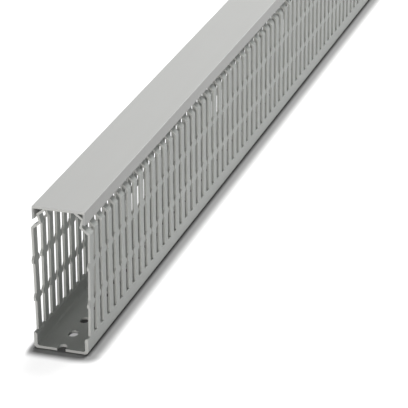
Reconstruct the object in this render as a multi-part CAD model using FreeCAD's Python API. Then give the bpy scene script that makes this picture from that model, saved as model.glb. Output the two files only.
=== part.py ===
import FreeCAD, Part
import math
import os

# Slotted wire duct, 30 x 80 mm, one metre of stock: a punched base channel and its clip-on cover.
# Frame: X across the duct, Y along it with the near cut end at -Y, Z up, floor underside on Z = 0.
# All sizes are in millimetres.

V = FreeCAD.Vector

# Stock
WIDTH = 30.0
HEIGHT = 80.0
LENGTH = 1000.0
WALL = 1.25
RAIL_WALL = 1.8
FLOOR = 1.5
CORNER_OUT = 2.0
CORNER_IN = 1.2

# Slots and the fingers between them
PITCH = 10.0
SLOT = 5.0
FIRST_FINGER = 3.8
RAIL = 8.8
LEDGE = 0.8
NUB_FEET = (25.2, 46.4)
NUB_TALL = 4.4
NUB_STEP = 0.5
NUB_TIP = 2.0
NUB_OUT = 1.7

# Finger heads, measured inward from the outer face and down from the top of the cover
SHOULDER_DOWN = 13.2
NECK_DOWN = 9.7
NECK_IN = 3.3
BARB_DOWN = 5.2
BARB_IN = 2.0
LIP_DOWN = 2.0
LIP_IN = 6.3

# The first pair of fingers springs out a little at the sawn end
SPRUNG = 1.1

# Oblong floor holes, their long way along the duct
HOLE_WIDE = 4.8
HOLE_LONG = 7.0
HOLE_PITCH = 16.5
FIRST_HOLE = 1.5

# Cover, whose flanges clear the barbs of the fingers and which is set back from the sawn end
BARB_CLEARANCE = 0.3
COVER_BACK = 1.4
COVER_TOP = 1.3
FLANGE = 1.1
FLANGE_DEEP = 7.4
FOOT = 0.3
BEAD_IN = 0.5
BEAD_BELOW_BARB = 1.5
BEAD_TALL = 0.8
EDGE = 0.3

# How far cutting tools reach past what they cut
PAST = 3.0

NEAR = -LENGTH / 2
FAR = LENGTH / 2
half = WIDTH / 2


def offset_line(points, distance):
    """The same open line moved sideways by distance, with its corners kept sharp."""
    moved = []
    for i, (x, z) in enumerate(points):
        normals = []
        for a, b in ((i - 1, i), (i, i + 1)):
            if a < 0 or b >= len(points):
                continue
            dx = points[b][0] - points[a][0]
            dz = points[b][1] - points[a][1]
            size = math.hypot(dx, dz)
            normals.append((-dz / size, dx / size))
        nx = sum(n[0] for n in normals) / len(normals)
        nz = sum(n[1] for n in normals) / len(normals)
        scale = distance / (nx * nx + nz * nz)
        moved.append((x + nx * scale, z + nz * scale))
    return moved


def section(points, y=NEAR):
    """A closed face in the plane across the duct, from (x, z) points."""
    corners = [V(x, y, z) for x, z in points]
    return Part.Face(Part.makePolygon(corners + corners[:1]))


def mirrored(points):
    """The same points on the other side of the middle plane, in the reverse order."""
    return [(-x, z) for x, z in reversed(points)]


def long_edges(solid, wanted):
    """The edges that run the whole length and pass through one of the wanted (x, z) places."""
    found = []
    for edge in solid.Edges:
        a = edge.Vertexes[0].Point
        b = edge.Vertexes[-1].Point
        if abs(abs(b.y - a.y) - LENGTH) > 0.01:
            continue
        if any(abs(a.x - x) < 0.01 and abs(a.z - z) < 0.01 for x, z in wanted):
            found.append(edge)
    return found


def channel_section(sprung=0.0):
    """One wall line from the foot to the tip of the lip, thickened inward and mirrored."""
    wall_line = [
        (half, RAIL),
        (half + sprung, HEIGHT - SHOULDER_DOWN),
        (half - NECK_IN, HEIGHT - NECK_DOWN),
        (half - BARB_IN, HEIGHT - BARB_DOWN),
        (half - LIP_IN, HEIGHT - LIP_DOWN),
    ]
    inside = offset_line(wall_line, WALL)
    thin = half - WALL
    thick = half - RAIL_WALL
    foot_in = [(thin, RAIL), (thick, RAIL - LEDGE), (thick, FLOOR)]
    right_half = [(half, 0.0)] + wall_line + list(reversed(inside[1:])) + foot_in
    return section(right_half + mirrored(right_half))


# Base channel: the plain extrusion with its floor corners rounded
channel = channel_section().extrude(V(0, LENGTH, 0))
feet = [(half, 0.0), (-half, 0.0)]
channel = channel.makeFillet(CORNER_OUT, long_edges(channel, feet))
roots = [(half - RAIL_WALL, FLOOR), (RAIL_WALL - half, FLOOR)]
channel = channel.makeFillet(CORNER_IN, long_edges(channel, roots))


def slot_side(foot=RAIL):
    """One side of a slot from its foot up, as (distance from the slot's middle, height)."""
    edge = SLOT / 2
    side = [(edge, foot)]
    for low in NUB_FEET:
        side.append((edge, low))
        side.append((edge - NUB_OUT, low + NUB_STEP))
        side.append((edge - NUB_OUT, low + NUB_STEP + NUB_TIP))
        side.append((edge, low + NUB_TALL))
    side.append((edge, HEIGHT + PAST))
    return side


def punch(outline, middle):
    """A tool across the whole duct, from (distance along the duct, height) points."""
    corners = [V(-half - PAST, middle + y, z) for y, z in outline]
    return Part.Face(Part.makePolygon(corners + corners[:1])).extrude(V(WIDTH + 2 * PAST, 0, 0))


def slot_punch(middle):
    """One slot through both walls, pinched by the nubs of the fingers on its two sides."""
    near = [(-y, z) for y, z in slot_side()]
    return punch(near + list(reversed(slot_side())), middle)


# The first punch also takes the first pair of fingers, whose sprung copies are put in their place
first_slot = NEAR + FIRST_FINGER + PITCH - SLOT / 2
open_end = [(NEAR - PAST - first_slot, z) for z in (RAIL, HEIGHT + PAST)]
channel = channel.cut(punch(open_end + list(reversed(slot_side())), first_slot))

finger_middle = NEAR + FIRST_FINGER + (PITCH - SLOT) / 2
finger_far = [(PITCH / 2 - y, z) for y, z in slot_side(RAIL - LEDGE / 2)]
finger_near = [(-y, z) for y, z in finger_far]
sprung_pair = channel_section(SPRUNG).extrude(V(0, FIRST_FINGER + PITCH, 0))
sprung_pair = sprung_pair.common(punch(finger_near + list(reversed(finger_far)), finger_middle))
channel = channel.fuse(sprung_pair).removeSplitter()

# All the other slots, in one row to the far end
slots = []
middle = first_slot + PITCH
while middle - SLOT / 2 < FAR:
    slots.append(slot_punch(middle))
    middle += PITCH

# Mounting holes in one line down the middle of the floor
holes = []
place = NEAR + FIRST_HOLE
r = HOLE_WIDE / 2
straight = HOLE_LONG / 2 - r
while place - HOLE_LONG / 2 < FAR:
    near_end = place - straight
    far_end = place + straight
    wire = Part.Wire([
        Part.makeLine(V(r, near_end, -PAST), V(r, far_end, -PAST)),
        Part.Arc(V(r, far_end, -PAST), V(0, far_end + r, -PAST), V(-r, far_end, -PAST)).toShape(),
        Part.makeLine(V(-r, far_end, -PAST), V(-r, near_end, -PAST)),
        Part.Arc(V(-r, near_end, -PAST), V(0, near_end - r, -PAST), V(r, near_end, -PAST)).toShape(),
    ])
    holes.append(Part.Face(wire).extrude(V(0, 0, FLOOR + 2 * PAST)))
    place += HOLE_PITCH

base = channel.cut(slots + holes)

# Cover: flat top, two flanges and a clip bead inside the foot of each flange, under the barbs
inner = half - BARB_IN + BARB_CLEARANCE
outer = inner + FLANGE
bead = HEIGHT - BARB_DOWN - BEAD_BELOW_BARB
cover_half = [
    (0.0, HEIGHT),
    (outer - EDGE, HEIGHT),
    (outer, HEIGHT - EDGE),
    (outer, HEIGHT - FLANGE_DEEP),
    (outer - FOOT, HEIGHT - FLANGE_DEEP),
    (inner - BEAD_IN, bead),
    (inner, bead + BEAD_TALL),
    (inner, HEIGHT - COVER_TOP),
]
cover_face = section(cover_half + mirrored(cover_half)[:-1], NEAR + COVER_BACK)
cover = cover_face.extrude(V(0, LENGTH - COVER_BACK, 0))

os.makedirs("parts", exist_ok=True)
for name, shape in (("duct_base", base), ("cover", cover)):
    solids = shape.Solids
    if len(solids) != 1:
        raise ValueError(name + " has " + str(len(solids)) + " solids")
    solid = solids[0]
    if not solid.isValid():
        raise ValueError(name + " is not valid")
    solid.exportStep("parts/" + name + ".step")
    box = solid.BoundBox
    print(name, round(solid.Volume), box.XMin, box.XMax, box.YMin, box.YMax, box.ZMin, box.ZMax)
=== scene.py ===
import bpy
from mathutils import Matrix, Vector

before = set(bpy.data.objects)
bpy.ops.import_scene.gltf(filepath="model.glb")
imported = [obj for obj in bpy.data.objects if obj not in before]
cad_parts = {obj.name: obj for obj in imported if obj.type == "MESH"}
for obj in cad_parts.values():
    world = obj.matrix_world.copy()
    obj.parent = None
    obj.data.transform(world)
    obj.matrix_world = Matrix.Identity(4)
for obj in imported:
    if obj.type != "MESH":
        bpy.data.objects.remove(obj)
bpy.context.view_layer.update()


# Slotted base channel: rigid grey PVC, extruded as a plain channel with headed walls and then
# punched, so its walls carry fine lines along the duct and its punched edges are duller. Their
# paleness is partly the whitening of punched PVC and partly painted highlight.
# It is screwed down through the holes in its floor.
class Wire:
    """One socket of a material, so that sums on it write their own nodes."""

    def __init__(self, tree, socket=None):
        self.tree = tree
        self.socket = socket

    def node(self, kind, settings=None, feeds=None, out=0):
        """A new node of a kind, with its settings and the values or links of its sockets."""
        made = self.tree.nodes.new(kind)
        for name, value in (settings or {}).items():
            setattr(made, name, value)
        for name, value in (feeds or {}).items():
            if isinstance(value, Wire):
                self.tree.links.new(value.socket, made.inputs[name])
            else:
                made.inputs[name].default_value = value
        return Wire(self.tree, made.outputs[out] if made.outputs else None)

    def maths(self, operation, first, second=0.0):
        return self.node("ShaderNodeMath", {"operation": operation}, {0: first, 1: second})

    def __add__(self, other):
        return self.maths("ADD", self, other)

    __radd__ = __add__

    def __sub__(self, other):
        return self.maths("SUBTRACT", self, other)

    def __rsub__(self, other):
        return self.maths("SUBTRACT", other, self)

    def __mul__(self, other):
        return self.maths("MULTIPLY", self, other)

    __rmul__ = __mul__

    def __abs__(self):
        return self.maths("ABSOLUTE", self)

    def floored(self):
        """This number, or 0 where it is negative."""
        return self.maths("MAXIMUM", self, 0.0)

    def root(self):
        return self.maths("SQRT", self)

    def ramp(self, low, high):
        """0 below low, 1 above high, smooth between."""
        return self.node(
            "ShaderNodeMapRange",
            {"interpolation_type": "SMOOTHSTEP"},
            {"Value": self, "From Min": low, "From Max": high},
        )

    def part(self, axis):
        """The X, Y or Z of a vector."""
        return self.node("ShaderNodeSeparateXYZ", {}, {"Vector": self}, axis)

    def stretched(self, x, y, z):
        """A vector times one number along each axis."""
        return self.node("ShaderNodeVectorMath", {"operation": "MULTIPLY"}, {0: self, 1: (x, y, z)})

    def noise(self, scale, detail):
        return self.node(
            "ShaderNodeTexNoise", {}, {"Vector": self, "Scale": scale, "Detail": detail}
        )

    def grey(self):
        """A colour with this number as its red, green and blue."""
        return self.node("ShaderNodeCombineColor", {}, {"Red": self, "Green": self, "Blue": self})

    def mixed(self, other, factor):
        """This colour turned towards another by factor."""
        return self.node(
            "ShaderNodeMix",
            {"data_type": "RGBA"},
            {"Factor": factor, "A": self, "B": other},
            2,
        )


def new_material(name):
    """An empty node material, and its object coordinates to start from."""
    material = bpy.data.materials.new(name)
    material.use_nodes = True
    tree = material.node_tree
    tree.nodes.clear()
    return material, Wire(tree).node("ShaderNodeTexCoord", out="Object")


# Patterns by their scale in one metre, the drawn ones pulled out along the duct, then the relief,
# the blur of a pale edge, the tones and the colour of the painted highlight on the folds
FINE_LINES = 1500.0
BROAD_LINES = 260.0
CLOUDS = 38.0
SAW_MARKS = 900.0
DRAWN_OUT = 0.012
RELIEF = 0.00012
PALE_BLUR = 0.0002
TONE_SPAN = 0.14
FOLD_HIGHLIGHT = (0.85, 0.85, 0.83)


def rigid_pvc(name, face, cut, gloss, pale_from, painted_fold_highlight):
    """Extruded PVC: drawn lines along the duct, faint clouding and dull sawn and punched edges.

    The sawn faces are pale above the height pale_from, partly as whitening of cut PVC and partly as
    painted highlight; below it they keep the face colour, as painted shade. The last argument says
    how strong the painted highlight on the long folds is.
    """
    material, place = new_material(name)
    drawn = place.stretched(1.0, DRAWN_OUT, 1.0)
    fine_lines = drawn.noise(FINE_LINES, 3.0)
    broad_lines = drawn.noise(BROAD_LINES, 2.0)
    clouds = place.noise(CLOUDS, 3.0)
    saw_marks = place.noise(SAW_MARKS, 2.0)

    # Cut faces look along the duct, and folds look partly up and partly aside. The cut faces are
    # pale, partly as whitening of cut PVC and partly as painted highlight, and the folds carry a
    # painted highlight
    facing = place.node("ShaderNodeTexCoord", out="Normal")
    sawn = abs(facing.part("Y")).ramp(0.5, 0.8)
    pale = sawn * place.part("Z").ramp(pale_from - PALE_BLUR, pale_from + PALE_BLUR)
    fold_highlight_mask = (abs(facing.part("X")) * abs(facing.part("Z"))).ramp(0.2, 0.42)

    tone = (broad_lines - 0.5) * 0.10 + (clouds - 0.5) * 0.10 + (fine_lines - 0.5) * 0.06 + 0.5
    darkest = tuple(v * (1.0 - TONE_SPAN) for v in face) + (1.0,)
    palest = tuple(v * (1.0 + TONE_SPAN) for v in face) + (1.0,)
    colour = place.node("ShaderNodeRGB")
    colour.socket.default_value = darkest
    colour = colour.mixed(palest, tone)
    # Paleness of the cut faces: partly whitening of cut PVC, partly painted highlight
    colour = colour.mixed(cut + (1.0,), pale * 0.9)
    # Painted highlight on the long folds
    colour = colour.mixed(FOLD_HIGHLIGHT + (1.0,), fold_highlight_mask * painted_fold_highlight)

    rough = (fine_lines - 0.5) * 0.12 + sawn * 0.25 + (1.0 - gloss)
    height = fine_lines * (1.0 - sawn) + saw_marks * sawn * 1.6
    bump = place.node(
        "ShaderNodeBump", {}, {"Strength": 0.25, "Distance": RELIEF, "Height": height}
    )
    surface = place.node(
        "ShaderNodeBsdfPrincipled",
        {},
        {"Base Color": colour, "Roughness": rough, "Normal": bump, "IOR": 1.5},
    )
    place.node("ShaderNodeOutputMaterial", {}, {"Surface": surface})
    return material


def dress(node, material):
    """Give a CAD node one material in every slot."""
    node.data.materials.clear()
    node.data.materials.append(material)


duct_pvc = rigid_pvc(
    "duct_pvc",
    face=(0.510, 0.526, 0.505),
    cut=(0.64, 0.64, 0.61),
    gloss=0.55,
    pale_from=-0.01,
    painted_fold_highlight=0.0,
)
dress(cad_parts["duct_base"], duct_pvc)


# Clip-on cover: the same rigid PVC, extruded as one flat strip with two short flanges.
# Its beads catch under the finger heads, and it can be slid off along the duct. Only the sawn end
# of its top is pale, partly as whitening and partly as painted highlight; the sawn ends of the
# flanges and beads keep the face colour as painted shade, since they lie in the shade.
TOP_UNDERSIDE = 0.0786

cover_pvc = rigid_pvc(
    "cover_pvc",
    face=(0.51, 0.512, 0.498),
    cut=(0.70, 0.70, 0.67),
    gloss=0.6,
    pale_from=TOP_UNDERSIDE,
    painted_fold_highlight=0.45,
)
dress(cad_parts["cover"], cover_pvc)


# Floor: a plain pale studio floor that shows white to the camera a centimetre away from the duct.
# Nearer it shows the duct's shadow, partly cast and partly painted shadow, darkest where the two
# touch, and painted light makes it light under the second hole. What it throws back at the duct
# grows from the near end on.
HALF_WIDTH = 0.015
HALF_LENGTH = 0.5
SECOND_HOLE = -0.483
FLOOR_SIZE = 12.0
FLOOR_GAP = 0.0002


def studio_floor():
    """A grey cloth that glows, its glow and its grey both carrying a painted shadow by how far a
    place lies from the duct's outline.
    """
    material, place = new_material("studio_floor")
    side = place.part("X")
    back = place.part("Y")

    # The painted shadow is much narrower on the left, and a little longer beyond the ends
    right_of = (side - HALF_WIDTH).floored()
    left_of = (-HALF_WIDTH - side).floored() * 2.6
    beyond = (abs(back) - HALF_LENGTH).floored() * 0.85
    across = right_of + left_of
    away = (across * across + beyond * beyond).root()

    # The camera sees the glow, white with a painted shadow and painted light under the second hole,
    # and all else is lit by the bounce
    in_line = 1.0 - abs(side).ramp(0.003, 0.005)
    # Painted light on the floor under the second hole
    painted_light_at_hole = in_line * (1.0 - abs(back - SECOND_HOLE).ramp(0.006, 0.008))
    seen_glow_with_painted_shadow = away.ramp(0.0028, 0.0105) * 0.85 + painted_light_at_hole * 0.35
    bounce = away.ramp(0.0, 0.004) * (back.ramp(-0.52, -0.35) * 0.18 + 0.26)
    seen = place.node("ShaderNodeLightPath", out="Is Camera Ray")
    level = seen_glow_with_painted_shadow * seen + bounce * (1.0 - seen)

    # Painted shadow in the cloth's colour: darkest under the duct, a little less so along its near
    # edge
    at_front = 1.0 - abs(back + HALF_LENGTH + 0.001).ramp(0.002, 0.009)
    pale = away.ramp(-0.0006, 0.0022) * 0.30 + at_front * 0.06 + 0.12
    surface = place.node(
        "ShaderNodeBsdfPrincipled",
        {},
        {
            "Base Color": pale.grey(),
            "Roughness": 1.0,
            "Specular IOR Level": 0.0,
            "Emission Color": level.grey(),
            "Emission Strength": 1.0,
        },
    )
    place.node("ShaderNodeOutputMaterial", {}, {"Surface": surface})
    return material


bpy.ops.object.select_all(action="DESELECT")
bpy.ops.mesh.primitive_plane_add(size=FLOOR_SIZE, location=(0.0, 0.0, -FLOOR_GAP))
floor = bpy.context.object
floor.name = "studio_floor"
floor.data.materials.append(studio_floor())


# Light: a large soft lamp overhead and behind, so that the inside stays dark, a low wide one in
# front for the sawn and punched edges, one at the right for the wall, and a dim pale surround.
def soft_lamp(name, place, target, size, power):
    """A square lamp of a size and power, at a place and turned to a target."""
    lamp = bpy.data.lights.new(name, "AREA")
    lamp.shape = "SQUARE"
    lamp.size = size
    lamp.energy = power
    holder = bpy.data.objects.new(name, lamp)
    bpy.context.scene.collection.objects.link(holder)
    holder.location = place
    aim = Vector(target) - Vector(place)
    holder.rotation_euler = aim.to_track_quat("-Z", "Y").to_euler()


soft_lamp("overhead", (0.2, 1.2, 2.8), (0.0, -0.1, 0.0), size=1.6, power=116.0)
soft_lamp("front", (0.35, -3.5, 0.5), (0.0, -0.3, 0.04), size=1.0, power=40.0)
soft_lamp("right", (3.2, -0.2, 0.9), (0.0, 0.0, 0.04), size=1.6, power=4.0)

AIR = (0.97, 0.985, 1.0, 1.0)
world = bpy.data.worlds.new("surround")
bpy.context.scene.world = world
world.use_nodes = True
world.node_tree.nodes.clear()
sky = Wire(world.node_tree)
direct = sky.node("ShaderNodeLightPath", out="Is Camera Ray")
glossy = sky.node("ShaderNodeLightPath", out="Is Glossy Ray")
level = direct * 0.97 + glossy * 0.3 + 0.03
backdrop = sky.node("ShaderNodeBackground", {}, {"Color": AIR, "Strength": level})
sky.node("ShaderNodeOutputWorld", {}, {"Surface": backdrop})


# Camera: a long lens from the right and above, looking back along the duct past its near end.
# Its place is in duct heights from the middle of that end, and its focal length is in pixels of
# the square picture.
DUCT_HEIGHT = 0.08
EYE = Vector((5.1736, -12.8851, 7.1749))
AHEAD = Vector((-0.28312, 0.86938, -0.40500))
RIGHT = Vector((0.95148, 0.30767, -0.00469))
FOCAL_PIXELS = 2401.7
PICTURE_PIXELS = 408.0
SENSOR = 36.0

eye = EYE * DUCT_HEIGHT + Vector((0.0, -HALF_LENGTH, 0.0))
ahead = AHEAD.normalized()
right = (RIGHT - ahead * RIGHT.dot(ahead)).normalized()
up = right.cross(ahead)
view = Matrix((right, up, -ahead)).transposed().to_4x4()
view.translation = eye
lens = bpy.data.cameras.new("camera")
lens.sensor_width = SENSOR
lens.lens = FOCAL_PIXELS / PICTURE_PIXELS * SENSOR
lens.clip_end = 50.0
camera = bpy.data.objects.new("camera", lens)
bpy.context.scene.collection.objects.link(camera)
camera.matrix_world = view
bpy.context.scene.camera = camera
bpy.context.scene.view_settings.view_transform = "Standard"
